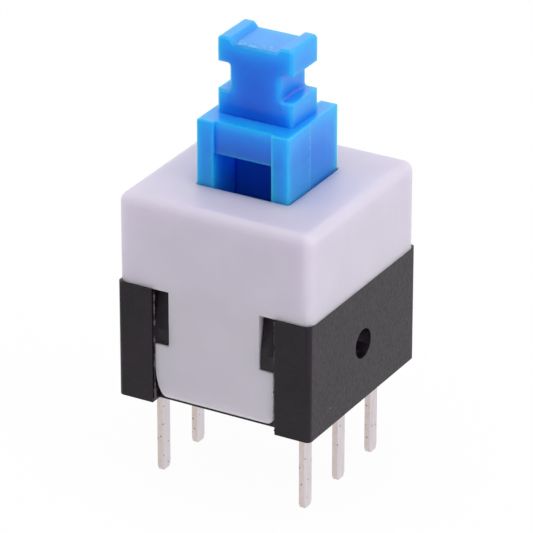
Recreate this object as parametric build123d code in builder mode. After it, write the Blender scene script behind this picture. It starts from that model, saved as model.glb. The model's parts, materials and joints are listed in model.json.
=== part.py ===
"""Self-locking push switch with a square body, two poles and a cap head.

The origin is the centre of the base's underside, where it sits on the board.
+Z points up along the plunger, and the tongues of the cover face -Y and +Y.
"""

import os

from build123d import *

# Clearances and cut overrun, in millimetres like every length below
overrun = 1.0
slip = 0.02
running_gap = 0.05

# Body
body_width = 8.0
base_height = 4.6
cover_height = 3.5

# Base
base_floor = 0.8
base_corner_radius = 0.2
end_wall = 0.95
side_hole_diameter = 1.15
boss_height = 1.2
# Share of the spring's inside diameter that the boss fills
boss_share = 0.85

# Cover
cover_inset = 0.06
cover_wall = 0.9
cover_roof = 0.9
cover_edge_radius = 0.4

# Snap tongues of the cover and the lugs of the base that hold them
tongue_width = 4.9
tongue_gap = 0.1
tongue_thickness = 0.38
tongue_back_gap = 0.06
tongue_lift = 0.345
tongue_round_width = 0.45
tongue_round_height = 1.2
tongue_corner_radius = 0.25
neck_width = 3.75
lug_height = 2.15
lug_gap = 0.05
lug_inset_top = 0.4
lug_inset_bottom = 0.08
lug_land = 0.59

# Terminals
row_spacing = 6.0
pin_pitch = 2.5
pin_width = 0.55
pin_length = 3.5
pin_tip_height = 0.18
pin_tip_width = 0.38
terminal_thickness = 0.25
root_width = 0.75
root_taper = 0.35
head_margin = 0.025
common_width = 0.95
terminal_top_gap = 0.2
released_head_height = 1.3
latched_head_lift = 0.2
latched_gap = 1.2

# Plunger
travel = 2.2
stop_gap = 0.1
block_rise = 2.55
block_edge_radius = 0.08
flange_gap = 0.4
flange_height = 1.88
channel_width = 2.4
front_channel_depth = 0.14
back_channel_depth = 0.26
window_rise = 1.3
window_depth = 1.62
window_sink = 0.85
side_step = 0.05
head_width = 3.08
block_shoulder = 0.36
block_width = head_width + 2 * block_shoulder
head_depth = 1.9
head_edge_chamfer = 0.08
collar_height = 0.92
stem_neck_width = 2.07
stem_neck_height = 1.06
stem_neck_radius = 0.12
head_height = 0.8
ridge_rise = 0.2
ridge_width = 0.5
ridge_slope = 0.17
ridge_radius = 0.16

# Return spring and its bore in the plunger
spring_wire = 0.25
spring_wire_sides = 8
spring_turns = 7
spring_gap = 0.15
bore_roof = 0.3

# Latch pin and the heart-shaped cam groove that it rides in
wire_diameter = 0.4
wire_bend_radius = 0.32
latch_pivot_height = 1.25
latch_tip_rise = 0.95
latch_space = 0.7
latch_seat_depth = 0.5
latch_swing = 0.58
groove_depth = 0.55
groove_wall = 0.2
groove_play = 0.06
tip_gap = 0.08
groove_return_width = 1.15
groove_return_height = 1.2
groove_corner_radius = 0.15
heart_corner_radius = 0.06
# Corners of the heart: sideways as shares of the swing, upwards as shares of the travel
heart_shares = [(-0.34, 0.28), (0.26, 0.83), (-0.30, 0.60), (-1.05, 0.74)]

# Moving contacts
contact_thickness = 0.15
contact_space = 0.675
contact_end_gap = 0.35
contact_height = 0.9
contact_gap = 0.02
finger_width = 0.4
finger_drop = 0.6
finger_tail = 0.4
finger_tail_inset = 0.22
finger_bend_radius = 0.12
peg_diameter = 0.5
peg_length = 0.4
peg_spacing = 1.8

# Places worked out from the sizes above
half_body = body_width / 2
slot_width = tongue_width + 2 * tongue_gap
recess_depth = cover_inset + tongue_thickness + tongue_back_gap
recess_y = half_body - recess_depth
cavity_y = recess_y - end_wall
contact_x = row_spacing / 2 - terminal_thickness / 2
block_depth = 2 * (cavity_y - latch_space)
carrier_width = 2 * (contact_x - contact_space)
flange_width = body_width - 2 * (cover_wall + flange_gap)
bore_diameter = block_depth - 2 * (groove_depth + groove_wall)
spring_mean_diameter = bore_diameter - spring_wire - 2 * spring_gap
boss_diameter = boss_share * (spring_mean_diameter - spring_wire)
contact_width = 2 * (cavity_y - contact_end_gap)
finger_y = (contact_width - finger_width) / 2
head_reach = pin_pitch - pin_width / 2 - finger_y + finger_width / 2 + head_margin
lug_bottom = base_height - lug_height
cover_top = base_height + cover_height
cover_ceiling = cover_top - cover_roof
cover_depth = body_width - 2 * cover_inset
block_top = cover_top + block_rise
flange_top = cover_ceiling - slip
flange_bottom = flange_top - flange_height
carrier_bottom = base_floor + travel + stop_gap
bore_top = flange_top - bore_roof
terminal_top = base_height - terminal_top_gap
latch_tip_z = carrier_bottom + latch_tip_rise
shank_y = (block_depth / 2 + cavity_y) / 2
contact_top = flange_bottom - running_gap
contact_bottom = contact_top - contact_height
latched_top = contact_bottom - finger_drop - latched_gap
peg_z = (contact_top + contact_bottom) / 2
sides = {"left": -1, "right": 1}


def terminal_profile(kind):
    """Outline of a terminal in the plane of its strip, drawn about its own pin."""
    with BuildSketch(mode=Mode.PRIVATE) as profile:
        with BuildLine():
            Polyline(
                (pin_tip_width / 2, -pin_length),
                (pin_width / 2, pin_tip_height - pin_length),
                (pin_width / 2, -root_taper),
                (root_width / 2, 0),
                (root_width / 2, base_floor),
                (-root_width / 2, base_floor),
                (-root_width / 2, 0),
                (-pin_width / 2, -root_taper),
                (-pin_width / 2, pin_tip_height - pin_length),
                (-pin_tip_width / 2, -pin_length),
                close=True,
            )
        make_face()
        strip_top = latched_top if kind == "latched" else terminal_top
        strip_width = common_width if kind == "common" else pin_width
        with Locations((0, base_floor)):
            Rectangle(strip_width, strip_top - base_floor, align=(Align.CENTER, Align.MIN))
        if kind == "released":
            with Locations((pin_width / 2, terminal_top)):
                Rectangle(pin_width + head_reach, released_head_height, align=(Align.MAX, Align.MAX))
        if kind == "latched":
            latched_head_bottom = base_floor + latched_head_lift
            with Locations((-pin_width / 2, latched_head_bottom)):
                Rectangle(pin_width + head_reach, latched_top - latched_head_bottom, align=Align.MIN)
    return profile.sketch


terminal_places = {"released": pin_pitch, "common": 0, "latched": -pin_pitch}

# Base: an open box with corner posts, tongue recesses and grooves for the terminals
with BuildPart() as base:
    with BuildSketch():
        RectangleRounded(body_width, body_width, base_corner_radius)
    extrude(amount=base_height)
    with BuildSketch(Plane.XY.offset(base_floor)):
        Rectangle(2 * contact_x, 2 * cavity_y)
    extrude(amount=base_height, mode=Mode.SUBTRACT)
    with BuildSketch():
        for end in (1, -1):
            with Locations((0, end * (recess_y + (recess_depth + overrun) / 2))):
                Rectangle(slot_width, recess_depth + overrun)
    extrude(amount=base_height, mode=Mode.SUBTRACT)
    # Snap lugs on the inner side of each post: a lead-in slope above an upright land
    for end in (1, -1):
        for side in (1, -1):
            with BuildSketch(Plane.YZ.offset(side * slot_width / 2)):
                with BuildLine():
                    Polyline(
                        (end * recess_y, base_height),
                        (end * (half_body - lug_inset_top), base_height),
                        (end * (half_body - lug_inset_bottom), lug_bottom + lug_land),
                        (end * (half_body - lug_inset_bottom), lug_bottom),
                        (end * recess_y, lug_bottom),
                        close=True,
                    )
                make_face()
            extrude(amount=-side * ((slot_width - neck_width) / 2 - lug_gap))
    # Boss that centres the return spring
    with BuildSketch(Plane.XY.offset(base_floor)):
        Circle(boss_diameter / 2)
    extrude(amount=boss_height)
    # Grooves and floor slots that hold the terminals
    for side in sides.values():
        for kind, place in terminal_places.items():
            with BuildSketch(Plane((side * contact_x, place, 0), (0, 1, 0), (1, 0, 0))):
                add(terminal_profile(kind))
                offset(amount=slip, kind=Kind.INTERSECTION)
            extrude(amount=side * (terminal_thickness + slip), mode=Mode.SUBTRACT)
        # The floor slot clears the inner face of the strip too
        for place in terminal_places.values():
            with BuildSketch():
                with Locations((side * contact_x, place)):
                    Rectangle(2 * slip, root_width + 2 * slip)
            extrude(amount=base_floor, mode=Mode.SUBTRACT)
        # Round hole through the side wall, opposite the common terminal
        with BuildSketch(Plane.YZ.offset(side * (contact_x + terminal_thickness))):
            with Locations((0, base_height / 2)):
                Circle(side_hole_diameter / 2)
        extrude(amount=side * half_body, mode=Mode.SUBTRACT)
    # Socket of the latch pin in the rear wall
    with BuildSketch(Plane.XZ.offset(-cavity_y)):
        with Locations((0, latch_pivot_height)):
            Circle(wire_diameter / 2 + running_gap)
    extrude(amount=-latch_seat_depth, mode=Mode.SUBTRACT)

# Cover: a rounded cap with a square opening and two snap tongues
with BuildPart() as cover:
    with BuildSketch(Plane.XY.offset(base_height)):
        Rectangle(body_width, cover_depth)
    extrude(amount=cover_height)
    fillet(cover.edges().filter_by(Axis.Z), cover_edge_radius)
    fillet(cover.faces().sort_by(Axis.Z)[-1].edges(), cover_edge_radius)
    with BuildSketch(Plane.XY.offset(base_height)):
        Rectangle(body_width - 2 * cover_wall, cover_depth - 2 * cover_wall)
    extrude(amount=cover_height - cover_roof, mode=Mode.SUBTRACT)
    with BuildSketch(Plane.XY.offset(cover_ceiling)):
        Rectangle(block_width + 2 * running_gap, block_depth + 2 * running_gap)
    extrude(amount=cover_roof, mode=Mode.SUBTRACT)
    opening_x = block_width / 2 + running_gap
    opening_corners = cover.edges().filter_by(Axis.Z).filter_by_position(Axis.X, -opening_x, opening_x)
    fillet(opening_corners, block_edge_radius + running_gap)
    shoulder_top = lug_bottom - lug_gap
    # Each tongue has a long round on its left, seen from outside, and a small corner on its right
    round_top = tongue_lift + tongue_round_height
    round_x = tongue_width / 2 - tongue_round_width
    corner_top = tongue_lift + tongue_corner_radius
    corner_x = tongue_width / 2 - tongue_corner_radius
    arc_starts = {1: 270, -1: 180}
    for end in (1, -1):
        with BuildSketch(Plane.XZ.offset(-end * cover_depth / 2)):
            with BuildLine():
                Polyline(
                    (end * tongue_width / 2, round_top),
                    (end * tongue_width / 2, shoulder_top),
                    (end * neck_width / 2, shoulder_top),
                    (end * neck_width / 2, base_height),
                    (-end * neck_width / 2, base_height),
                    (-end * neck_width / 2, shoulder_top),
                    (-end * tongue_width / 2, shoulder_top),
                    (-end * tongue_width / 2, corner_top),
                )
                EllipticalCenterArc(
                    (-end * corner_x, corner_top),
                    tongue_corner_radius,
                    tongue_corner_radius,
                    arc_starts[-end],
                    arc_size=90,
                )
                Line((-end * corner_x, tongue_lift), (end * round_x, tongue_lift))
                EllipticalCenterArc(
                    (end * round_x, round_top),
                    tongue_round_width,
                    tongue_round_height,
                    arc_starts[end],
                    arc_size=90,
                )
            make_face()
        extrude(amount=end * tongue_thickness)

# Plunger: carrier, flange and block in one moulding, with the cap head on top
with BuildPart() as plunger:
    with BuildSketch(Plane.XZ):
        with Locations((0, carrier_bottom)):
            Rectangle(carrier_width, flange_bottom - carrier_bottom, align=(Align.CENTER, Align.MIN))
        with Locations((0, flange_bottom)):
            Rectangle(flange_width, flange_height, align=(Align.CENTER, Align.MIN))
        with Locations((0, flange_top)):
            Rectangle(block_width, block_top - flange_top, align=(Align.CENTER, Align.MIN))
    extrude(amount=block_depth / 2, both=True)
    block_edges = plunger.edges().filter_by_position(Axis.Z, flange_top + slip, block_top)
    fillet(block_edges, block_edge_radius)
    # The rear of the block's sides steps in a little
    step_depth = block_depth - window_depth
    for side in (1, -1):
        with BuildSketch(Plane.XY.offset(flange_top)):
            with Locations((side * (block_width - side_step) / 2, block_depth / 2)):
                Rectangle(side_step, step_depth, align=(Align.CENTER, Align.MAX))
        extrude(amount=block_top - flange_top, mode=Mode.SUBTRACT)
    # Channels down the front and back of the block, and the window in the front one
    channel_foot = cover_ceiling - slip
    for end, depth in ((-1, front_channel_depth), (1, back_channel_depth)):
        with BuildSketch(Plane.XY.offset(channel_foot)):
            with Locations((0, end * (block_depth - depth) / 2)):
                Rectangle(channel_width, depth)
        extrude(amount=block_top - channel_foot, mode=Mode.SUBTRACT)
    with BuildSketch(Plane.XY.offset(cover_top - window_sink)):
        with Locations((0, -block_depth / 2)):
            Rectangle(channel_width, window_depth, align=(Align.CENTER, Align.MIN))
    extrude(amount=window_sink + window_rise, mode=Mode.SUBTRACT)
    # Cap head: collar, neck and a head with a rounded ridge at each end
    collar_top = block_top + collar_height
    head_bottom = collar_top + stem_neck_height
    head_top = head_bottom + head_height
    ridge_top = head_top + ridge_rise
    with BuildSketch(Plane.XZ) as head_profile:
        with BuildLine() as head_line:
            Polyline(
                (0, block_top),
                (head_width / 2, block_top),
                (head_width / 2, collar_top),
                (stem_neck_width / 2, collar_top),
                (stem_neck_width / 2, head_bottom),
                (head_width / 2, head_bottom),
                (head_width / 2, ridge_top),
                (head_width / 2 - ridge_width, ridge_top),
                (head_width / 2 - ridge_width - ridge_slope, head_top),
                (0, head_top),
            )
            mirror(about=Plane.YZ)
        make_face()
        neck_corners = [
            corner
            for corner in head_profile.vertices()
            if abs(abs(corner.X) - stem_neck_width / 2) < slip
        ]
        fillet(neck_corners, stem_neck_radius)
        ridge_corners = [corner for corner in head_profile.vertices() if corner.Y > head_top + slip]
        fillet(ridge_corners, ridge_radius)
    extrude(amount=head_depth / 2, both=True)
    head_edges = plunger.edges().filter_by_position(Axis.Z, block_top + slip, ridge_top)
    front_edges = head_edges.filter_by_position(Axis.Y, -head_depth / 2, -head_depth / 2)
    back_edges = head_edges.filter_by_position(Axis.Y, head_depth / 2, head_depth / 2)
    chamfer(front_edges + back_edges, head_edge_chamfer)
    # Bore for the return spring
    with BuildSketch(Plane.XY.offset(carrier_bottom)):
        Circle(bore_diameter / 2)
    extrude(amount=bore_top - carrier_bottom, mode=Mode.SUBTRACT)
    # Heart-shaped cam groove in the back: an outer lane round a heart that stays standing
    lane = wire_diameter / 2 + groove_play
    lean = latch_swing / travel
    lane_top = travel + lane
    with BuildSketch(Plane((0, block_depth / 2, latch_tip_z), (1, 0, 0), (0, -1, 0))):
        with BuildLine():
            FilletPolyline(
                (-lane, -lane),
                (lane, -lane),
                (lane + lean * lane_top, lane_top),
                (-groove_return_width, lane_top),
                (-groove_return_width, groove_return_height),
                (-lane, 0),
                radius=groove_corner_radius,
                close=True,
            )
        make_face()
        with BuildLine():
            FilletPolyline(
                [(x * latch_swing, z * travel) for x, z in heart_shares],
                radius=heart_corner_radius,
                close=True,
            )
        make_face(mode=Mode.SUBTRACT)
    extrude(amount=groove_depth, mode=Mode.SUBTRACT)
    # Pegs that the moving contacts are staked on
    for side in (1, -1):
        with BuildSketch(Plane.YZ.offset(side * carrier_width / 2)):
            with Locations((-peg_spacing / 2, peg_z), (peg_spacing / 2, peg_z)):
                Circle(peg_diameter / 2)
        extrude(amount=side * peg_length)

# Return spring: an open coil between the base floor and the roof of the plunger's bore,
# with a many-sided wire that keeps its facets few
with BuildPart() as return_spring:
    coil_foot = base_floor + slip + spring_wire / 2
    coil_length = bore_top - slip - spring_wire / 2 - coil_foot
    with BuildLine() as coil:
        Helix(coil_length / spring_turns, coil_length, spring_mean_diameter / 2, (0, 0, coil_foot))
    with BuildSketch(Plane(coil.line @ 0, z_dir=coil.line % 0)):
        RegularPolygon(spring_wire / 2, spring_wire_sides)
    sweep()

# Latch pin: a bent wire, hinged in the rear wall with its upper end in the cam groove
with BuildPart() as latch_pin:
    with BuildLine() as wire:
        FilletPolyline(
            (0, cavity_y + latch_seat_depth - tip_gap, latch_pivot_height),
            (0, shank_y, latch_pivot_height),
            (0, shank_y, latch_tip_z),
            (0, block_depth / 2 - groove_depth + tip_gap, latch_tip_z),
            radius=wire_bend_radius,
        )
    with BuildSketch(Plane(wire.line @ 0, z_dir=wire.line % 0)):
        Circle(wire_diameter / 2)
    sweep()

# Moving contacts: a staked plate with three sprung fingers, one for each terminal
contacts = {}
for name, side in sides.items():
    with BuildPart() as contact:
        plate_x = carrier_width / 2 + slip
        with BuildSketch(Plane.YZ.offset(side * plate_x)):
            with Locations((0, peg_z)):
                Rectangle(contact_width, contact_height)
            with Locations((-peg_spacing / 2, peg_z), (peg_spacing / 2, peg_z)):
                Circle(peg_diameter / 2 + slip, mode=Mode.SUBTRACT)
        extrude(amount=side * contact_thickness)
        root_x = plate_x + contact_thickness / 2
        apex_x = contact_x - contact_gap - contact_thickness / 2
        for place in (-finger_y, 0, finger_y):
            with BuildSketch(Plane.XZ.offset(-place)):
                with BuildLine():
                    FilletPolyline(
                        (side * root_x, contact_bottom + contact_thickness),
                        (side * root_x, contact_bottom),
                        (side * apex_x, contact_bottom - finger_drop),
                        (side * (apex_x - finger_tail_inset), contact_bottom - finger_drop - finger_tail),
                        radius=finger_bend_radius,
                    )
                trace(line_width=contact_thickness)
            extrude(amount=finger_width / 2, both=True)
    contacts[name + "_moving_contact"] = contact

# Terminals: one flat strip each, two rows of three
terminals = {}
for name, side in sides.items():
    for kind, place in terminal_places.items():
        with BuildPart() as terminal:
            with BuildSketch(Plane((side * contact_x, place, 0), (0, 1, 0), (1, 0, 0))):
                add(terminal_profile(kind))
            extrude(amount=side * terminal_thickness)
        terminals[name + "_" + kind + "_terminal"] = terminal

os.makedirs("parts", exist_ok=True)
pieces = {
    "base": base,
    "cover": cover,
    "plunger": plunger,
    "return_spring": return_spring,
    "latch_pin": latch_pin,
    **contacts,
    **terminals,
}
for label, piece in pieces.items():
    piece.part.label = label
    export_step(piece.part, "parts/" + label + ".step")
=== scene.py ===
"""Looks of the self-locking push switch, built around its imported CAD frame."""

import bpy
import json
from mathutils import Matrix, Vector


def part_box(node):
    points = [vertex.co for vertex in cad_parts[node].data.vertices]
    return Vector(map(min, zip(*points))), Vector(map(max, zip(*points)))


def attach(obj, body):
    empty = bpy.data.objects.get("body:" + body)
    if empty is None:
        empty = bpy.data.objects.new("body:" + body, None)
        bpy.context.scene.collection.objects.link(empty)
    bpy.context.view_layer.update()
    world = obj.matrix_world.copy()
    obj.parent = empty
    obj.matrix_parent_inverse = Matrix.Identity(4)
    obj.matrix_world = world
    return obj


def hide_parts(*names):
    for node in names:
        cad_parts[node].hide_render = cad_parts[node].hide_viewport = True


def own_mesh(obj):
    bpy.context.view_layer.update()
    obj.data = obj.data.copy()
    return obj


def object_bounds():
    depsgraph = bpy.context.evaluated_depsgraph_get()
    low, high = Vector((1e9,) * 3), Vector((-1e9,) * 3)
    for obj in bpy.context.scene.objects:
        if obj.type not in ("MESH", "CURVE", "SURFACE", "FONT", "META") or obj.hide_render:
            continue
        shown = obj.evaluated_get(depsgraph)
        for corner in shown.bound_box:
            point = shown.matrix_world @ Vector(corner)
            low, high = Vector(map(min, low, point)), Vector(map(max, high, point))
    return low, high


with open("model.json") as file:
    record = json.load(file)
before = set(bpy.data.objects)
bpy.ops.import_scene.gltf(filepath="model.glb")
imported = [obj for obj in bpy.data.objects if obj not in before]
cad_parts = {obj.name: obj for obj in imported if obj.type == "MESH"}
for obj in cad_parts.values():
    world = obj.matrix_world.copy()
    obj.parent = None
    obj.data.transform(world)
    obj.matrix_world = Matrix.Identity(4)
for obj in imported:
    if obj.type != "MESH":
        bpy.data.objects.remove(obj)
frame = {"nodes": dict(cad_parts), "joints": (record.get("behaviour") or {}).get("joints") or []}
CAD_BOX = [list(corner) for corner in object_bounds()]

import json
import logging
import math
from dataclasses import dataclass, field
from enum import Enum
from typing import Any, Callable

import bmesh
import bpy
from mathutils import Vector
from mathutils.bvhtree import BVHTree

MM = 0.001
LOG = logging.getLogger("push_switch")
# Sockets of the Mix node when it mixes colours
MIX_A, MIX_B, MIX_RESULT = 6, 7, 2
# Nearly all of a noise lies between these values, around its middle
NOISE_LOW, NOISE_MIDDLE, NOISE_HIGH = 0.3, 0.5, 0.7
# Face attribute of the terminals that is 1 on the sheared edges of the strip
SHEARED = "sheared"
# Vertex attribute of the plunger for painted light: it rises towards 1 where light from the sides
# and above gets through it easily, and the blue is painted paler there
PAINTED_LIGHT = "painted_light"
# Points of a CAD mesh that are nearer to each other than this are one point
MERGE_MM = 0.0005
# Faces of a CAD mesh that meet at less than this are one flat face
FLAT_DEGREES = 0.5
# Edges of a CAD mesh that turn more than this are rounded, with faces on a circular arc
SHARP_DEGREES = 25.0
ROUND_FACES = 3
ROUND_PROFILE = 0.5
# Edges that turn more than this stay creases, on the CAD's pieces and on those from node trees
CREASE_DEGREES = 30.0
TREE_CREASE_DEGREES = 50.0


class Body(Enum):
    """Bodies of the frame that the pieces ride on."""

    HOUSING = "housing"
    PLUNGER = "plunger_set"
    LATCH = "latch"


class Slot(Enum):
    """Material slots of the record."""

    BASE = "base_black"
    COVER = "cover_white"
    PLUNGER = "plunger_blue"
    SPRING = "spring_steel"
    LATCH = "latch_steel"
    CONTACT = "contact_bronze"
    TERMINAL = "terminal_tin"


class Side(Enum):
    """The two rows of terminals."""

    LEFT = "left"
    RIGHT = "right"


class Throw(Enum):
    """What a terminal is wired to."""

    RELEASED = "released"
    COMMON = "common"
    LATCHED = "latched"


def linear(colour: str) -> tuple[float, float, float, float]:
    """Turn an sRGB hex colour to linear.

    Args:
        colour: The colour, such as "#1a2b3c".

    Returns:
        Linear red, green and blue, and an alpha of 1.
    """
    parts = [int(colour[start:start + 2], 16) / 255 for start in (1, 3, 5)]
    red, green, blue = (
        part / 12.92 if part <= 0.04045 else ((part + 0.055) / 1.055) ** 2.4 for part in parts
    )
    return red, green, blue, 1.0


def add_node(
    tree: bpy.types.NodeTree,
    kind: str,
    settings: dict[str, Any] | None = None,
    values: dict[Any, Any] | None = None,
    links: dict[Any, bpy.types.NodeSocket] | None = None,
) -> bpy.types.Node:
    """Add a node with its settings, socket values and links.

    Args:
        tree: The node tree that gets the node.
        kind: The node's type name.
        settings: Attributes of the node.
        values: Values of its inputs, by socket name or number.
        links: Outputs that feed its inputs, by socket name or number.

    Returns:
        The new node.
    """
    node = tree.nodes.new(kind)
    for name, value in (settings or {}).items():
        setattr(node, name, value)
    for socket, value in (values or {}).items():
        node.inputs[socket].default_value = value
    for socket, output in (links or {}).items():
        tree.links.new(output, node.inputs[socket])
    return node


def new_material(name: str) -> tuple[bpy.types.Material, bpy.types.NodeTree, bpy.types.Node]:
    """Make a material with a Principled shader.

    Args:
        name: The material's name.

    Returns:
        The material, its node tree and its shader.
    """
    material = bpy.data.materials.new(name)
    material.use_nodes = True
    tree = material.node_tree
    return material, tree, tree.nodes["Principled BSDF"]


def stretched_noise(
    tree: bpy.types.NodeTree, size_mm: tuple[float, float, float], detail: float = 2.0
) -> bpy.types.NodeSocket:
    """Add noise on Object coordinates, with patches of a real size.

    Args:
        tree: The material's node tree.
        size_mm: Size of one patch along X, Y and Z in millimetres.
        detail: Number of finer layers.

    Returns:
        The noise value, around 0.5.
    """
    place = add_node(tree, "ShaderNodeTexCoord")
    mapping = add_node(
        tree,
        "ShaderNodeMapping",
        values={"Scale": [1 / (size * MM) for size in size_mm]},
        links={"Vector": place.outputs["Object"]},
    )
    noise = add_node(
        tree,
        "ShaderNodeTexNoise",
        values={"Scale": 1.0, "Detail": detail},
        links={"Vector": mapping.outputs["Vector"]},
    )
    return noise.outputs["Fac"]


def mottled(
    tree: bpy.types.NodeTree, noise: bpy.types.NodeSocket, shades: tuple[str, str]
) -> bpy.types.NodeSocket:
    """Mix two shades by a noise.

    Args:
        tree: The material's node tree.
        noise: The noise value.
        shades: Hex colours where the noise is low and where it is high.

    Returns:
        The mixed colour.
    """
    share = add_node(
        tree,
        "ShaderNodeMapRange",
        values={"From Min": NOISE_LOW, "From Max": NOISE_HIGH},
        links={"Value": noise},
    )
    mix = add_node(
        tree,
        "ShaderNodeMix",
        {"data_type": "RGBA"},
        {MIX_A: linear(shades[0]), MIX_B: linear(shades[1])},
        {"Factor": share.outputs["Result"]},
    )
    return mix.outputs[MIX_RESULT]


def grain(
    tree: bpy.types.NodeTree,
    shader: bpy.types.Node,
    noise: bpy.types.NodeSocket,
    roughness: tuple[float, float],
    height_mm: float,
) -> None:
    """Let a noise raise a surface and vary its roughness.

    Args:
        tree: The material's node tree.
        shader: The material's shader.
        noise: The noise value.
        roughness: Roughness where the noise is low and where it is high.
        height_mm: Height of the grain in millimetres.
    """
    low, high = roughness
    rough = add_node(
        tree,
        "ShaderNodeMapRange",
        values={"From Min": NOISE_LOW, "From Max": NOISE_HIGH, "To Min": low, "To Max": high},
        links={"Value": noise},
    )
    tree.links.new(rough.outputs["Result"], shader.inputs["Roughness"])
    bump = add_node(
        tree,
        "ShaderNodeBump",
        values={"Strength": 1.0, "Distance": height_mm * MM},
        links={"Height": noise},
    )
    tree.links.new(bump.outputs["Normal"], shader.inputs["Normal"])


def specked(
    tree: bpy.types.NodeTree,
    colour: bpy.types.NodeSocket,
    speck: str,
    spacing_mm: float,
    share: float,
) -> bpy.types.NodeSocket:
    """Lay a few specks over a colour.

    Args:
        tree: The material's node tree.
        colour: The colour under the specks.
        speck: The specks' hex colour.
        spacing_mm: Distance between specks in millimetres.
        share: Radius of a speck as a share of the spacing.

    Returns:
        The colour with the specks.
    """
    place = add_node(tree, "ShaderNodeTexCoord")
    cells = add_node(
        tree,
        "ShaderNodeTexVoronoi",
        values={"Scale": 1 / (spacing_mm * MM)},
        links={"Vector": place.outputs["Object"]},
    )
    inside = add_node(
        tree,
        "ShaderNodeMath",
        {"operation": "LESS_THAN"},
        {1: share},
        {0: cells.outputs["Distance"]},
    )
    mix = add_node(
        tree,
        "ShaderNodeMix",
        {"data_type": "RGBA"},
        {MIX_B: linear(speck)},
        {"Factor": inside.outputs["Value"], MIX_A: colour},
    )
    return mix.outputs[MIX_RESULT]


@dataclass(frozen=True)
class MouldedPlastic:
    """A moulded plastic: a mottled colour, the fine grain of its mould and light inside it,
    scattered by the shader and, on the plastics that ask for it, painted paler where light would
    pass.
    """

    name: str
    shades: tuple[str, str]
    roughness: tuple[float, float]
    ior: float
    mottle_mm: float
    grit_mm: float
    grit_height_mm: float
    scatter: float = 0.0
    scatter_mm: tuple[float, float, float] = (1.0, 1.0, 1.0)
    dust: str = ""
    dust_spacing_mm: float = 1.0
    dust_share: float = 0.0
    painted_light_shades: tuple[str, str] | None = None

    def material(self) -> bpy.types.Material:
        """Build the material.

        Returns:
            The finished material.
        """
        material, tree, shader = new_material(self.name)
        shader.inputs["IOR"].default_value = self.ior
        mottle = stretched_noise(tree, (self.mottle_mm,) * 3, detail=4.0)
        colour = mottled(tree, mottle, self.shades)
        # Painted light: the colour turns paler where light would shine through the thin plastic
        if self.painted_light_shades:
            pale = mottled(tree, mottle, self.painted_light_shades)
            colour = self.paint_light(tree, colour, pale)
        if self.dust:
            colour = specked(tree, colour, self.dust, self.dust_spacing_mm, self.dust_share)
        tree.links.new(colour, shader.inputs["Base Color"])
        # The mould's own grain is finer than a pixel, so this is as coarse as it needs to show
        grit = stretched_noise(tree, (self.grit_mm,) * 3)
        grain(tree, shader, grit, self.roughness, self.grit_height_mm)
        if self.scatter:
            shader.inputs["Subsurface Weight"].default_value = self.scatter
            shader.inputs["Subsurface Scale"].default_value = MM
            shader.inputs["Subsurface Radius"].default_value = self.scatter_mm
        return material

    def paint_light(
        self, tree: bpy.types.NodeTree, colour: bpy.types.NodeSocket, pale: bpy.types.NodeSocket
    ) -> bpy.types.NodeSocket:
        """Paint light into the colour: paler where the piece is thin enough for light to pass.

        Args:
            tree: The material's node tree.
            colour: The colour where the piece is thick.
            pale: The painted lit colour where it is thin.

        Returns:
            The colour with painted light by thickness.
        """
        light_share = add_node(tree, "ShaderNodeAttribute", {"attribute_name": PAINTED_LIGHT})
        mix = add_node(
            tree,
            "ShaderNodeMix",
            {"data_type": "RGBA"},
            links={"Factor": light_share.outputs["Fac"], MIX_A: colour, MIX_B: pale},
        )
        return mix.outputs[MIX_RESULT]


@dataclass(frozen=True)
class WorkedMetal:
    """A rolled or drawn metal, streaked along the way it was worked."""

    name: str
    shades: tuple[str, str]
    roughness: tuple[float, float]
    streak_mm: tuple[float, float, float]
    streak_height_mm: float
    sheared: str = ""
    sheared_patch_mm: float = 1.0
    sheared_least: float = 0.0
    pit: str = ""
    pit_spacing_mm: float = 1.0
    pit_share: float = 0.0

    def material(self) -> bpy.types.Material:
        """Build the material.

        Returns:
            The finished material.
        """
        material, tree, shader = new_material(self.name)
        shader.inputs["Metallic"].default_value = 1.0
        # Marks of the rolls and the die are finer, so these are as coarse as they need to show
        streak = stretched_noise(tree, self.streak_mm, detail=3.0)
        colour = mottled(tree, streak, self.shades)
        if self.sheared:
            colour = self.cut(tree, colour)
        if self.pit:
            colour = specked(tree, colour, self.pit, self.pit_spacing_mm, self.pit_share)
        tree.links.new(colour, shader.inputs["Base Color"])
        grain(tree, shader, streak, self.roughness, self.streak_height_mm)
        return material

    def cut(
        self, tree: bpy.types.NodeTree, colour: bpy.types.NodeSocket
    ) -> bpy.types.NodeSocket:
        """Lay the sheared metal's colour in patches over the cut edges.

        Args:
            tree: The material's node tree.
            colour: The colour of the faces.

        Returns:
            The colour of the faces and the cut edges.
        """
        edge = add_node(tree, "ShaderNodeAttribute", {"attribute_name": SHEARED})
        patch = add_node(
            tree,
            "ShaderNodeMapRange",
            values={"From Min": NOISE_LOW, "From Max": NOISE_HIGH, "To Min": self.sheared_least},
            links={"Value": stretched_noise(tree, (self.sheared_patch_mm,) * 3, detail=3.0)},
        )
        bare = add_node(
            tree,
            "ShaderNodeMath",
            {"operation": "MULTIPLY"},
            links={0: edge.outputs["Fac"], 1: patch.outputs["Result"]},
        )
        mix = add_node(
            tree,
            "ShaderNodeMix",
            {"data_type": "RGBA"},
            {MIX_B: linear(self.sheared)},
            {"Factor": bare.outputs["Value"], MIX_A: colour},
        )
        return mix.outputs[MIX_RESULT]


# Black PBT off a spark-eroded mould: a satin black that greys where it mirrors the white table,
# with a few specks of dust
BLACK_PBT = MouldedPlastic(
    name="black_pbt_moulded",
    shades=("#171018", "#201722"),
    roughness=(0.3, 0.46),
    ior=1.34,
    mottle_mm=1.2,
    grit_mm=0.12,
    grit_height_mm=0.009,
    dust="#7d767c",
    dust_spacing_mm=1.3,
    dust_share=0.036,
)
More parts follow.
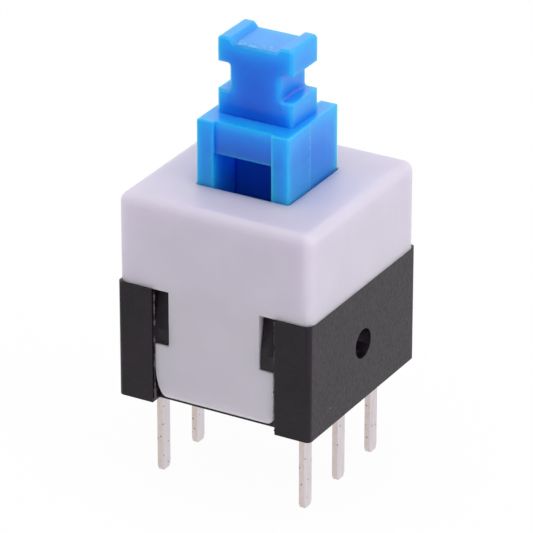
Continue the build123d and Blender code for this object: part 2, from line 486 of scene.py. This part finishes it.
# Flash torn off the black moulding: the same black, paler where it is stretched thin
TORN_PBT = MouldedPlastic(
    name="black_pbt_torn",
    shades=("#141015", "#6a6063"),
    roughness=(0.5, 0.7),
    ior=1.4,
    mottle_mm=0.22,
    grit_mm=0.06,
    grit_height_mm=0.01,
)
# White acetal: a milky, slightly lilac white that lets light in under its edges
WHITE_ACETAL = MouldedPlastic(
    name="white_acetal_moulded",
    shades=("#cec7d7", "#d3ccdc"),
    roughness=(0.4, 0.5),
    ior=1.48,
    mottle_mm=2.0,
    grit_mm=0.15,
    grit_height_mm=0.003,
    scatter=0.7,
    scatter_mm=(1.4, 1.3, 1.4),
)
# Blue acetal: a clear blue, painted paler at thin edges and on faces towards the side lamps, where
# light shines through
BLUE_ACETAL = MouldedPlastic(
    name="blue_acetal_moulded",
    shades=("#0648cc", "#0850d2"),
    painted_light_shades=("#1caaf8", "#24b0fa"),
    roughness=(0.28, 0.34),
    ior=1.5,
    mottle_mm=1.5,
    grit_mm=0.12,
    grit_height_mm=0.002,
    scatter=1.0,
    scatter_mm=(0.3, 1.2, 2.4),
)
# Blue acetal torn at the mould's gate: the same blue, frosted paler
FROSTED_ACETAL = MouldedPlastic(
    name="blue_acetal_frosted",
    shades=("#30a2f4", "#74bef6"),
    roughness=(0.4, 0.6),
    ior=1.48,
    mottle_mm=0.1,
    grit_mm=0.05,
    grit_height_mm=0.005,
)
# Matt tin plate on brass strip: a soft lilac white, a little warmer on the sheared edges, with
# small dark pits
TINNED_BRASS = WorkedMetal(
    name="tinned_brass_strip",
    shades=("#d0c6ca", "#dfd8dc"),
    roughness=(0.34, 0.48),
    streak_mm=(0.1, 0.1, 0.9),
    streak_height_mm=0.004,
    sheared="#d0c0b9",
    sheared_patch_mm=0.2,
    sheared_least=0.2,
    pit="#958a80",
    pit_spacing_mm=0.3,
    pit_share=0.13,
)
# Bare phosphor bronze spring strip: a warm copper brown with a rolled shine
PHOSPHOR_BRONZE = WorkedMetal(
    name="phosphor_bronze_strip",
    shades=("#b97f4e", "#d09a66"),
    roughness=(0.24, 0.36),
    streak_mm=(0.1, 0.9, 0.1),
    streak_height_mm=0.002,
)
# Drawn music wire: grey steel with fine marks from the drawing die
SPRING_WIRE = WorkedMetal(
    name="drawn_spring_wire",
    shades=("#8e8f92", "#b4b5b8"),
    roughness=(0.2, 0.34),
    streak_mm=(0.3, 0.3, 0.05),
    streak_height_mm=0.002,
)
# Drawn stainless wire: bright and a little yellow, with lengthwise die marks
STAINLESS_WIRE = WorkedMetal(
    name="drawn_stainless_wire",
    shades=("#a3a19d", "#c4c2bd"),
    roughness=(0.18, 0.3),
    streak_mm=(0.05, 0.05, 0.6),
    streak_height_mm=0.002,
)


@dataclass(frozen=True)
class EdgeRound:
    """A radius for the sharp edges that a test picks by their middle."""

    radius_mm: float
    picks: Callable[[Vector], bool]


def link_mesh(name: str, mesh: bpy.types.Mesh) -> bpy.types.Object:
    """Put a mesh in the scene as an object at the origin.

    Args:
        name: The object's name.
        mesh: The mesh, in the frame's coordinates.

    Returns:
        The new object.
    """
    mesh.name = name
    piece = bpy.data.objects.new(name, mesh)
    bpy.context.scene.collection.objects.link(piece)
    return piece


def finish_piece(piece: bpy.types.Object, body: Body, slot: Slot, *nodes: str) -> None:
    """Tell the frame what a piece rides on and what it stands for.

    Args:
        piece: The finished piece.
        body: The body that carries it.
        slot: The record's material slot; not used.
        nodes: CAD nodes that it replaces.
    """
    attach(piece, body.value)
    if nodes:
        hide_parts(*nodes)
    LOG.info("%s: %d faces on %s", piece.name, len(piece.data.polygons), body.value)


def shade(piece: bpy.types.Object, crease_degrees: float = CREASE_DEGREES) -> None:
    """Smooth a piece's round faces, keep its flat faces flat and apply its modifiers.

    Args:
        piece: The piece.
        crease_degrees: Edges sharper than this stay sharp.
    """
    mesh = piece.data
    mesh.polygons.foreach_set("use_smooth", [True] * len(mesh.polygons))
    mesh.set_sharp_from_angle(angle=math.radians(crease_degrees))
    weighted = piece.modifiers.new("flat_faces", "WEIGHTED_NORMAL")
    weighted.keep_sharp = True
    graph = bpy.context.evaluated_depsgraph_get()
    piece.data = bpy.data.meshes.new_from_object(piece.evaluated_get(graph), depsgraph=graph)
    piece.modifiers.clear()
    bpy.data.meshes.remove(mesh)


def divide(shape: bmesh.types.BMesh, longest_mm: float, rounds: int = 5) -> None:
    """Cut a shape's faces into triangles with few edges longer than a limit.

    Args:
        shape: The shape.
        longest_mm: Edges longer than this are halved, in millimetres.
        rounds: How often the edges are halved.
    """
    bmesh.ops.triangulate(shape, faces=shape.faces)
    for _ in range(rounds):
        long_edges = [edge for edge in shape.edges if edge.calc_length() > longest_mm * MM]
        bmesh.ops.subdivide_edges(shape, edges=long_edges, cuts=1)
        bmesh.ops.triangulate(shape, faces=[face for face in shape.faces if len(face.verts) > 3])


def softened_copy(
    node: str,
    name: str,
    material: bpy.types.Material,
    edge_round: EdgeRound,
    longest_mm: float = 0.0,
) -> bpy.types.Object:
    """Copy a CAD node and round its sharp edges, as a mould or a press leaves them.

    Args:
        node: The CAD node.
        name: The new piece's name.
        material: The piece's material.
        edge_round: The radius, and the edges that get it.
        longest_mm: Longest edge that is left, or 0 to leave the faces whole.

    Returns:
        The new piece.
    """
    mesh = frame["nodes"][node].data.copy()
    mesh.materials.clear()
    mesh.materials.append(material)
    shape = bmesh.new()
    shape.from_mesh(mesh)
    bmesh.ops.remove_doubles(shape, verts=shape.verts, dist=MERGE_MM * MM)
    bmesh.ops.dissolve_limit(
        shape, angle_limit=math.radians(FLAT_DEGREES), verts=shape.verts, edges=shape.edges
    )
    edges = [
        edge
        for edge in shape.edges
        if edge.is_manifold
        and edge.calc_face_angle() > math.radians(SHARP_DEGREES)
        and edge_round.picks((edge.verts[0].co + edge.verts[1].co) / (2 * MM))
    ]
    bmesh.ops.bevel(
        shape,
        geom=edges,
        offset=edge_round.radius_mm * MM,
        offset_type="OFFSET",
        affect="EDGES",
        segments=ROUND_FACES,
        profile=ROUND_PROFILE,
        clamp_overlap=True,
    )
    if longest_mm:
        divide(shape, longest_mm)
    for face in shape.faces:
        face.material_index = 0
    shape.to_mesh(mesh)
    shape.free()
    piece = link_mesh(name, mesh)
    shade(piece)
    return piece


class ShapeTree:
    """A Geometry Nodes tree with named inputs, run once and kept as a plain mesh."""

    def __init__(self, name: str, inputs: dict[str, float | int]) -> None:
        """Start the tree.

        Args:
            name: The tree's name.
            inputs: Named sizes and counts with their values.
        """
        self.values = inputs
        self.tree = bpy.data.node_groups.new(name, "GeometryNodeTree")
        face = self.tree.interface
        face.new_socket("Geometry", in_out="INPUT", socket_type="NodeSocketGeometry")
        face.new_socket("Geometry", in_out="OUTPUT", socket_type="NodeSocketGeometry")
        for label, value in inputs.items():
            kind = "NodeSocketInt" if isinstance(value, int) else "NodeSocketFloat"
            face.new_socket(label, in_out="INPUT", socket_type=kind)
        self.inputs = self.tree.nodes.new("NodeGroupInput").outputs

    def add(self, kind: str, *args: Any) -> bpy.types.Node:
        """Add a node to the tree, as add_node does."""
        return add_node(self.tree, kind, *args)

    def sweep(
        self, curve: bpy.types.NodeSocket, radius: bpy.types.NodeSocket, sides: int
    ) -> bpy.types.NodeSocket:
        """Sweep a round section along a curve and close its ends.

        Args:
            curve: The curve.
            radius: The section's radius, which may vary along the curve.
            sides: Number of sides of the section.

        Returns:
            The mesh.
        """
        section = self.add(
            "GeometryNodeCurvePrimitiveCircle", {}, {"Resolution": sides, "Radius": 1.0}
        )
        swept = self.add(
            "GeometryNodeCurveToMesh",
            {},
            {"Fill Caps": True},
            {"Curve": curve, "Profile Curve": section.outputs["Curve"], "Scale": radius},
        )
        return swept.outputs["Mesh"]

    def bake(
        self,
        name: str,
        source: bpy.types.ID,
        shape: bpy.types.NodeSocket,
        material: bpy.types.Material,
    ) -> bpy.types.Object:
        """End the tree, run it on a source and keep the result.

        Args:
            name: The new piece's name.
            source: Mesh or curve data that the tree starts from.
            shape: The geometry that the tree has made.
            material: The piece's material.

        Returns:
            The new piece, a plain mesh.
        """
        real = self.add("GeometryNodeRealizeInstances", {}, {}, {"Geometry": shape})
        dressed = self.add(
            "GeometryNodeSetMaterial",
            {},
            {"Material": material},
            {"Geometry": real.outputs["Geometry"]},
        )
        self.add("NodeGroupOutput", {}, {}, {"Geometry": dressed.outputs["Geometry"]})
        start = bpy.data.objects.new(name + "_start", source)
        bpy.context.scene.collection.objects.link(start)
        modifier = start.modifiers.new("shape", "NODES")
        modifier.node_group = self.tree
        for item in self.tree.interface.items_tree:
            if item.in_out == "INPUT" and item.name in self.values:
                modifier[item.identifier] = self.values[item.name]
        graph = bpy.context.evaluated_depsgraph_get()
        mesh = bpy.data.meshes.new_from_object(start.evaluated_get(graph), depsgraph=graph)
        start.modifiers.clear()
        bpy.data.objects.remove(start)
        piece = link_mesh(name, mesh)
        shade(piece, TREE_CREASE_DEGREES)
        return piece


def path_curve(name: str, runs: list[list[Vector]]) -> bpy.types.Curve:
    """Make a curve of straight runs for a tree to follow.

    Args:
        name: The curve's name.
        runs: The points of each run in millimetres.

    Returns:
        The curve.
    """
    curve = bpy.data.curves.new(name, "CURVE")
    curve.dimensions = "3D"
    for run in runs:
        spline = curve.splines.new("POLY")
        spline.points.add(len(run) - 1)
        for point, place in zip(spline.points, run):
            point.co = (*(place * MM), 1.0)
    return curve


def box_mm(node: str) -> tuple[Vector, Vector]:
    """Give a CAD node's lowest and highest corners in millimetres."""
    low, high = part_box(node)
    return Vector(low) / MM, Vector(high) / MM


@dataclass
class Housing:
    """Black base and white cover, with the flash that the mould left on the posts."""

    edge_radius: float = 0.045
    cover_edge_radius: float = 0.05
    # Edges nearer than this to an outer face lie on it
    face_reach: float = 0.02
    slot_width: float = 5.1
    # The bead of flash: its middling and widest radius, how far it strays and the size of a lump
    flash_radius: float = 0.04
    flash_most: float = 0.09
    flash_wander: float = 0.02
    flash_grain: float = 0.3
    flash_step: float = 0.03
    flash_detail: float = 3.0
    flash_sides: int = 8
    # A higher power leaves a thinner line with fewer lumps
    flash_power: float = 3.0
    black: bpy.types.Material = field(default_factory=BLACK_PBT.material)
    torn: bpy.types.Material = field(default_factory=TORN_PBT.material)
    white: bpy.types.Material = field(default_factory=WHITE_ACETAL.material)

    def build(self) -> None:
        """Build and dress the housing's pieces."""
        self.moulding("base", Slot.BASE, self.black, self.edge_radius, round_top=False)
        self.moulding("cover", Slot.COVER, self.white, self.cover_edge_radius, round_top=True)
        self.flash()

    def moulding(
        self,
        node: str,
        slot: Slot,
        material: bpy.types.Material,
        radius: float,
        round_top: bool,
    ) -> None:
        """Round the outer edges of the base or the cover.

        Args:
            node: The CAD node.
            slot: The record's material slot.
            material: The piece's material.
            radius: Radius of the edges in millimetres.
            round_top: Whether the edges on top are rounded too, and not the four sides alone.
        """
        high = box_mm(node)[1] - Vector((self.face_reach,) * 3)

        def outside(middle: Vector) -> bool:
            """Tell whether an edge lies on one of those outer faces."""
            on_side = abs(middle.x) > high.x or abs(middle.y) > high.y
            return on_side or (round_top and middle.z > high.z)

        piece = softened_copy(node, node + "_moulding", material, EdgeRound(radius, outside))
        finish_piece(piece, Body.HOUSING, slot, node)

    def flash(self) -> None:
        """Run a ragged bead of flash down the inner edges of the four posts."""
        low, high = box_mm("base")
        reach = self.flash_most + self.flash_wander
        inner = self.slot_width / 2 - self.flash_radius
        face = high.y - reach
        runs = [
            [Vector((side * inner, end * face, z)) for z in (low.z + reach, high.z - reach)]
            for side in (-1, 1)
            for end in (-1, 1)
        ]
        tree = ShapeTree(
            "flash_bead",
            {
                "Step": self.flash_step * MM,
                "Grain": 1 / (self.flash_grain * MM),
                "Wander": 2 * self.flash_wander * MM,
                "Power": self.flash_power,
                "Radius": self.flash_radius / NOISE_MIDDLE**self.flash_power * MM,
                "Widest": self.flash_most * MM,
            },
        )
        line = tree.add(
            "GeometryNodeResampleCurve",
            {"mode": "LENGTH"},
            {},
            {"Curve": tree.inputs["Geometry"], "Length": tree.inputs["Step"]},
        )
        place = tree.add("GeometryNodeInputPosition")
        noise = tree.add(
            "ShaderNodeTexNoise",
            {},
            {"Detail": self.flash_detail},
            {"Vector": place.outputs["Position"], "Scale": tree.inputs["Grain"]},
        )
        stray = tree.add(
            "ShaderNodeVectorMath",
            {"operation": "SUBTRACT"},
            {1: (NOISE_MIDDLE,) * 3},
            {0: noise.outputs["Color"]},
        )
        shift = tree.add(
            "ShaderNodeVectorMath",
            {"operation": "SCALE"},
            {},
            {0: stray.outputs["Vector"], "Scale": tree.inputs["Wander"]},
        )
        ragged = tree.add(
            "GeometryNodeSetPosition",
            {},
            {},
            {"Geometry": line.outputs["Curve"], "Offset": shift.outputs["Vector"]},
        )
        radius = noise.outputs["Fac"]
        for operation, label in (("POWER", "Power"), ("MULTIPLY", "Radius"), ("MINIMUM", "Widest")):
            node = tree.add(
                "ShaderNodeMath",
                {"operation": operation},
                {},
                {0: radius, 1: tree.inputs[label]},
            )
            radius = node.outputs["Value"]
        bead = tree.sweep(ragged.outputs["Geometry"], radius, self.flash_sides)
        piece = tree.bake("post_flash", path_curve("post_edges", runs), bead, self.torn)
        finish_piece(piece, Body.HOUSING, Slot.BASE)


@dataclass
class Terminals:
    """Six tinned strips in two rows, with sheared edges."""

    edge_radius: float = 0.03
    # The strip's faces look along X, and a face that looks less than this along X was sheared
    sheared_most: float = 0.6
    tin: bpy.types.Material = field(default_factory=TINNED_BRASS.material)

    def build(self) -> None:
        """Build and dress each terminal."""
        for side in Side:
            for throw in Throw:
                self.terminal(f"{side.value}_{throw.value}")

    def terminal(self, which: str) -> None:
        """Round one strip's edges and mark where it was sheared.

        Args:
            which: Side and throw of the terminal.
        """
        node = which + "_terminal"
        every_edge = EdgeRound(self.edge_radius, lambda middle: True)
        piece = softened_copy(node, which + "_strip", self.tin, every_edge)
        mesh = piece.data
        marks = mesh.attributes.new(SHEARED, "FLOAT", "FACE")
        cuts = [float(abs(face.normal.x) < self.sheared_most) for face in mesh.polygons]
        marks.data.foreach_set("value", cuts)
        finish_piece(piece, Body.HOUSING, Slot.TERMINAL, node)


@dataclass
class PlungerSet:
    """Blue plunger and the two moving contacts that are staked on it."""

    edge_radius: float = 0.05
    contact_edge_radius: float = 0.02
    # Edges below this stay inside the housing and aren't rounded
    show_above: float = 5.0
    # The painted light is marked at points this near to each other
    mesh_step: float = 0.22
    # Light comes in along rays all round that climb by these slopes, and fades with this depth
    ray_turns: int = 8
    ray_slopes: tuple[float, ...] = (0.15, 0.8, 2.4)
    ray_start: float = 0.04
    light_depth: float = 0.9
    # Shares of the light that count as thick and as thin, and the most painted light that is marked
    light_range: tuple[float, float] = (0.27, 0.78)
    light_most: float = 0.8
    ridge_rise: float = 0.2
    gate_place: tuple[float, float] = (-0.05, -0.68)
    gate_size: tuple[float, float] = (1.5, 0.4)
    fleck_count: int = 17
    fleck_seed: int = 8
    fleck_radius: float = 0.09
    fleck_cuts: int = 2
    fleck_least: tuple[float, float, float] = (0.5, 0.5, 0.1)
    fleck_most: tuple[float, float, float] = (1.3, 1.2, 0.22)
    blue: bpy.types.Material = field(default_factory=BLUE_ACETAL.material)
    frosted: bpy.types.Material = field(default_factory=FROSTED_ACETAL.material)
    bronze: bpy.types.Material = field(default_factory=PHOSPHOR_BRONZE.material)

    def build(self) -> None:
        """Build and dress the pieces that move with the plunger."""
        self.plunger()
        self.flecks()
        for side in Side:
            self.contact(side)

    def plunger(self) -> None:
        """Round the edges of the plunger that can be seen."""
        shown = EdgeRound(self.edge_radius, lambda middle: middle.z > self.show_above)
        piece = softened_copy("plunger", "plunger_moulding", self.blue, shown, self.mesh_step)
        # Painted light: marks where the blue is painted paler, as light from the sides would pass
        # through
        self.mark_painted_light(piece)
        finish_piece(piece, Body.PLUNGER, Slot.PLUNGER, "plunger")

    def mark_painted_light(self, piece: bpy.types.Object) -> None:
        """Mark how easily light reaches each point through the plastic, mostly from left and right,
        for the painted light.

        Args:
            piece: The plunger.
        """
        mesh = piece.data
        solid = BVHTree.FromPolygons(
            [point.co for point in mesh.vertices], [face.vertices for face in mesh.polygons]
        )
        rays = [
            (abs(math.cos(turn)), Vector((math.cos(turn), math.sin(turn), slope)).normalized())
            for slope in self.ray_slopes
            for turn in (math.tau * step / self.ray_turns for step in range(self.ray_turns))
        ]
        total = sum(share for share, ray in rays)
        dark, pale = self.light_range
        marks = []
        for point in mesh.vertices:
            start = point.co - point.normal * self.ray_start * MM
            light = 0.0
            for share, ray in rays:
                distance = solid.ray_cast(start, ray)[3]
                light += share * math.exp(-distance / (self.light_depth * MM)) if distance else 0.0
            marks.append(min(max((light / total - dark) / (pale - dark), 0.0), self.light_most))
        painted_light = mesh.attributes.new(PAINTED_LIGHT, "FLOAT", "POINT")
        painted_light.data.foreach_set("value", marks)
        LOG.info("thinness from %.2f to %.2f", min(marks), max(marks))

    def flecks(self) -> None:
        """Scatter the flecks that the mould's gate tore on top of the head, near its front."""
        top = box_mm("plunger")[1].z - self.ridge_rise
        wide, deep = self.gate_size
        tree = ShapeTree(
            "gate_flecks",
            {
                "Wide": wide * MM,
                "Deep": deep * MM,
                "Density": self.fleck_count / (wide * deep * MM * MM),
                "Radius": self.fleck_radius * MM,
                "Seed": self.fleck_seed,
            },
        )
        patch = tree.add(
            "GeometryNodeMeshGrid",
            {},
            {"Vertices X": 2, "Vertices Y": 2},
            {"Size X": tree.inputs["Wide"], "Size Y": tree.inputs["Deep"]},
        )
        laid = tree.add(
            "GeometryNodeTransform",
            {},
            {"Translation": Vector((*self.gate_place, top)) * MM},
            {"Geometry": patch.outputs["Mesh"]},
        )
        points = tree.add(
            "GeometryNodeDistributePointsOnFaces",
            {},
            {},
            {
                "Mesh": laid.outputs["Geometry"],
                "Density": tree.inputs["Density"],
                "Seed": tree.inputs["Seed"],
            },
        )
        fleck = tree.add(
            "GeometryNodeMeshIcoSphere",
            {},
            {"Subdivisions": self.fleck_cuts},
            {"Radius": tree.inputs["Radius"]},
        )
        scale = tree.add(
            "FunctionNodeRandomValue",
            {"data_type": "FLOAT_VECTOR"},
            {0: self.fleck_least, 1: self.fleck_most},
            {"Seed": tree.inputs["Seed"]},
        )
        flecks = tree.add(
            "GeometryNodeInstanceOnPoints",
            {},
            {},
            {
                "Points": points.outputs["Points"],
                "Instance": fleck.outputs["Mesh"],
                "Scale": scale.outputs[0],
            },
        )
        source = bpy.data.meshes.new("gate")
        piece = tree.bake("gate_flecks", source, flecks.outputs["Instances"], self.frosted)
        finish_piece(piece, Body.PLUNGER, Slot.PLUNGER)

    def contact(self, side: Side) -> None:
        """Round the edges of one moving contact.

        Args:
            side: The row that the contact wipes.
        """
        node = side.value + "_moving_contact"
        every_edge = EdgeRound(self.contact_edge_radius, lambda middle: True)
        piece = softened_copy(node, side.value + "_contact_strip", self.bronze, every_edge)
        finish_piece(piece, Body.PLUNGER, Slot.CONTACT, node)


@dataclass
class ReturnSpring:
    """Return coil with closed ends, which the plunger presses shorter as it goes in; here it is
    built at one length.
    """

    wire_radius: float = 0.125
    wire_sides: int = 12
    turns: int = 9
    steps: int = 32
    # Height of the end that stays, and how far the plunger presses the other one down
    foot: float = 0.8
    travel: float = 2.2
    steel: bpy.types.Material = field(default_factory=SPRING_WIRE.material)

    def build(self) -> None:
        """Wind the coil from a flat spiral and lift its turns."""
        low, high = box_mm("return_spring")
        wire = self.wire_radius
        # The first and the last turn climb by one wire, so they lie closed on their neighbours
        closed_rise = 2 * wire
        open_rise = high.z - low.z - 2 * wire - 2 * closed_rise
        tree = ShapeTree(
            "closed_coil",
            {
                "Turns": float(self.turns),
                "Steps": self.steps,
                "Coil Radius": ((high.x - low.x) / 2 - wire) * MM,
                "Wire Radius": wire * MM,
                "Foot": (low.z + wire) * MM,
                "First Turn": 1 / self.turns,
                "Last Turn": 1 - 1 / self.turns,
                "Closed Rise": closed_rise * MM,
                "Open Rise": open_rise * MM,
            },
        )
        spiral = tree.add(
            "GeometryNodeCurveSpiral",
            {},
            {"Height": 0.0},
            {
                "Resolution": tree.inputs["Steps"],
                "Rotations": tree.inputs["Turns"],
                "Start Radius": tree.inputs["Coil Radius"],
                "End Radius": tree.inputs["Coil Radius"],
            },
        )
        along = tree.add("GeometryNodeSplineParameter").outputs["Factor"]
        height = tree.inputs["Foot"]
        for span in (
            {"From Max": "First Turn", "To Max": "Closed Rise"},
            {"From Min": "First Turn", "From Max": "Last Turn", "To Max": "Open Rise"},
            {"From Min": "Last Turn", "To Max": "Closed Rise"},
        ):
            limits = {socket: tree.inputs[label] for socket, label in span.items()}
            rise = tree.add("ShaderNodeMapRange", {}, {}, {"Value": along, **limits})
            total = tree.add(
                "ShaderNodeMath",
                {"operation": "ADD"},
                {},
                {0: height, 1: rise.outputs["Result"]},
            )
            height = total.outputs["Value"]
        lift = tree.add("ShaderNodeCombineXYZ", {}, {}, {"Z": height})
        coil = tree.add(
            "GeometryNodeSetPosition",
            {},
            {},
            {"Geometry": spiral.outputs["Curve"], "Offset": lift.outputs["Vector"]},
        )
        wound = tree.sweep(coil.outputs["Geometry"], tree.inputs["Wire Radius"], self.wire_sides)
        piece = tree.bake("return_coil", bpy.data.meshes.new("coil"), wound, self.steel)
        finish_piece(piece, Body.HOUSING, Slot.SPRING, "return_spring")
        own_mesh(piece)


@dataclass
class LatchPin:
    """Bent stainless wire, hinged in the rear wall, whose tip runs in the heart cam."""

    wire_radius: float = 0.2
    wire_sides: int = 20
    bend_radius: float = 0.32
    bend_steps: int = 10
    steel: bpy.types.Material = field(default_factory=STAINLESS_WIRE.material)

    def build(self) -> None:
        """Bend the wire round its two corners and give it its thickness."""
        low, high = box_mm("latch_pin")
        wire = self.wire_radius
        pivot_z, tip_z = low.z + wire, high.z - wire
        joint = next(joint for joint in frame["joints"] if joint["name"] == "latch_swing")
        shank_y = joint["pos_m"][1] / MM
        run = [
            Vector((0, high.y, pivot_z)),
            Vector((0, shank_y, pivot_z)),
            Vector((0, shank_y, tip_z)),
            Vector((0, low.y, tip_z)),
        ]
        tree = ShapeTree(
            "bent_wire",
            {
                "Bend Radius": self.bend_radius * MM,
                "Wire Radius": wire * MM,
                "Steps": self.bend_steps,
            },
        )
        bent = tree.add(
            "GeometryNodeFilletCurve",
            {"mode": "POLY"},
            {"Limit Radius": True},
            {
                "Curve": tree.inputs["Geometry"],
                "Radius": tree.inputs["Bend Radius"],
                "Count": tree.inputs["Steps"],
            },
        )
        pin = tree.sweep(bent.outputs["Curve"], tree.inputs["Wire Radius"], self.wire_sides)
        piece = tree.bake("latch_wire", path_curve("latch_path", [run]), pin, self.steel)
        finish_piece(piece, Body.LATCH, Slot.LATCH, "latch_pin")


@dataclass(frozen=True)
class SoftBox:
    """A square soft box: its middle and side in millimetres and its power in watts."""

    name: str
    place: tuple[float, float, float]
    width: float
    power: float


@dataclass
class Studio:
    """White table, soft light, a black card and the photograph's camera."""

    azimuth: float = 29.65
    elevation: float = 25.71
    distance: float = 164.456
    aim: tuple[float, float, float] = (-0.0367, -0.0209, 4.4492)
    lens: float = 303.94
    sensor: float = 36.0
    nearest: float = 1.0
    ambient: float = 0.6
    lamps: tuple[SoftBox, ...] = (
        SoftBox("key", place=(300.0, -10.0, 110.0), width=160.0, power=0.3),
        SoftBox("top", place=(20.0, -50.0, 320.0), width=260.0, power=0.35),
        SoftBox("back", place=(-120.0, 215.0, 190.0), width=260.0, power=0.08),
        SoftBox("fill", place=(-290.0, -80.0, 90.0), width=160.0, power=0.06),
    )
    matt: float = 0.9
    table_colour: str = "#f4f4f4"
    table_width: float = 900.0
    table_glow: float = 0.96
    card_colour: str = "#0c0c0c"
    card_size: tuple[float, float] = (84.0, 46.0)
    card_middle: float = -35.0
    card_distance: float = 42.0

    def build(self) -> None:
        """Set the table, the card, the world, the lamps and the camera."""
        self.table()
        self.card()
        self.world()
        for box in self.lamps:
            self.lamp(box)
        self.camera()
        bpy.context.scene.view_settings.view_transform = "Standard"

    def table(self) -> None:
        """Lay a plain white table under the pins, pale enough to vanish but for a soft shadow."""
        low = CAD_BOX[0][2]
        half = self.table_width * MM / 2
        corners = [(x * half, y * half, low) for x, y in ((-1, -1), (1, -1), (1, 1), (-1, 1))]
        material, tree, shader = new_material("white_table_top")
        shader.inputs["Specular IOR Level"].default_value = 0.0
        glow = add_node(tree, "ShaderNodeEmission", values={"Strength": 1.0})
        amount = add_node(
            tree,
            "ShaderNodeMath",
            {"operation": "MULTIPLY"},
            {1: self.table_glow},
            {0: self.seen(tree)},
        )
        mix = add_node(
            tree,
            "ShaderNodeMixShader",
            links={
                0: amount.outputs["Value"],
                1: shader.outputs["BSDF"],
                2: glow.outputs["Emission"],
            },
        )
        tree.links.new(mix.outputs["Shader"], tree.nodes["Material Output"].inputs["Surface"])
        self.sheet("table", corners, material, shader, self.table_colour)

    def card(self) -> None:
        """Stand a black card in front for the sloped lugs to mirror, which no other ray meets."""
        low = CAD_BOX[0][2]
        wide, tall = (size * MM for size in self.card_size)
        left, front = self.card_middle * MM - wide / 2, -self.card_distance * MM
        corners = [
            (left + x * wide, front, low + z * tall) for x, z in ((0, 0), (0, 1), (1, 1), (1, 0))
        ]
        material, _, shader = new_material("black_card_stock")
        card = self.sheet("black_card", corners, material, shader, self.card_colour)
        card.visible_camera = False
        card.visible_diffuse = False
        card.visible_shadow = False

    def sheet(
        self,
        name: str,
        corners: list[tuple[float, float, float]],
        material: bpy.types.Material,
        shader: bpy.types.Node,
        colour: str,
    ) -> bpy.types.Object:
        """Set up a flat matt sheet that isn't part of the switch.

        Args:
            name: The sheet's name.
            corners: Its four corners in metres, in order.
            material: Its material.
            shader: The material's shader.
            colour: Its hex colour.

        Returns:
            The sheet.
        """
        shader.inputs["Base Color"].default_value = linear(colour)
        shader.inputs["Roughness"].default_value = self.matt
        mesh = bpy.data.meshes.new(name)
        mesh.from_pydata(corners, [], [(0, 1, 2, 3)])
        mesh.materials.append(material)
        sheet = link_mesh(name, mesh)
        return sheet

    def seen(self, tree: bpy.types.NodeTree) -> bpy.types.NodeSocket:
        """Add a test for rays that show the background to the camera, straight or mirrored.

        Args:
            tree: The node tree that gets the test.

        Returns:
            A value of 1 for such rays and 0 for the rest.
        """
        path = add_node(tree, "ShaderNodeLightPath")
        total = path.outputs["Is Camera Ray"]
        for ray in ("Is Glossy Ray", "Is Transmission Ray"):
            node = add_node(
                tree,
                "ShaderNodeMath",
                {"operation": "MAXIMUM"},
                links={0: total, 1: path.outputs[ray]},
            )
            total = node.outputs["Value"]
        return total

    def world(self) -> None:
        """Give the room an even light, which shows as white."""
        world = bpy.data.worlds.new("light_tent")
        world.use_nodes = True
        tree = world.node_tree
        background = tree.nodes["Background"]
        background.inputs["Color"].default_value = linear("#ffffff")
        strength = add_node(
            tree,
            "ShaderNodeMapRange",
            values={"To Min": self.ambient, "To Max": 1.0},
            links={"Value": self.seen(tree)},
        )
        tree.links.new(strength.outputs["Result"], background.inputs["Strength"])
        bpy.context.scene.world = world

    def lamp(self, box: SoftBox) -> None:
        """Hang a soft box that faces the switch.

        Args:
            box: The soft box.
        """
        light = bpy.data.lights.new(box.name, "AREA")
        light.size = box.width * MM
        light.energy = box.power
        lamp = bpy.data.objects.new(box.name, light)
        lamp.location = Vector(box.place) * MM
        towards = Vector(self.aim) * MM - lamp.location
        lamp.rotation_euler = towards.to_track_quat("-Z", "Y").to_euler()
        bpy.context.scene.collection.objects.link(lamp)

    def camera(self) -> None:
        """Set the camera at the photograph's angle, distance and lens."""
        turn, rise = math.radians(self.azimuth), math.radians(self.elevation)
        back = Vector(
            (math.sin(turn) * math.cos(rise), -math.cos(turn) * math.cos(rise), math.sin(rise))
        )
        data = bpy.data.cameras.new("camera")
        data.lens = self.lens
        data.sensor_width = self.sensor
        data.clip_start = self.nearest * MM
        camera = bpy.data.objects.new("camera", data)
        camera.location = (Vector(self.aim) + back * self.distance) * MM
        camera.rotation_euler = (-back).to_track_quat("-Z", "Y").to_euler()
        bpy.context.scene.collection.objects.link(camera)
        bpy.context.scene.camera = camera


def main() -> None:
    """Build every sub-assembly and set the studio."""
    logging.basicConfig(level=logging.INFO, format="%(name)s: %(message)s")
    for assembly in (Housing(), Terminals(), PlungerSet(), ReturnSpring(), LatchPin(), Studio()):
        assembly.build()
        LOG.info("%s is done", type(assembly).__name__)


if __name__ == "__main__":
    main()
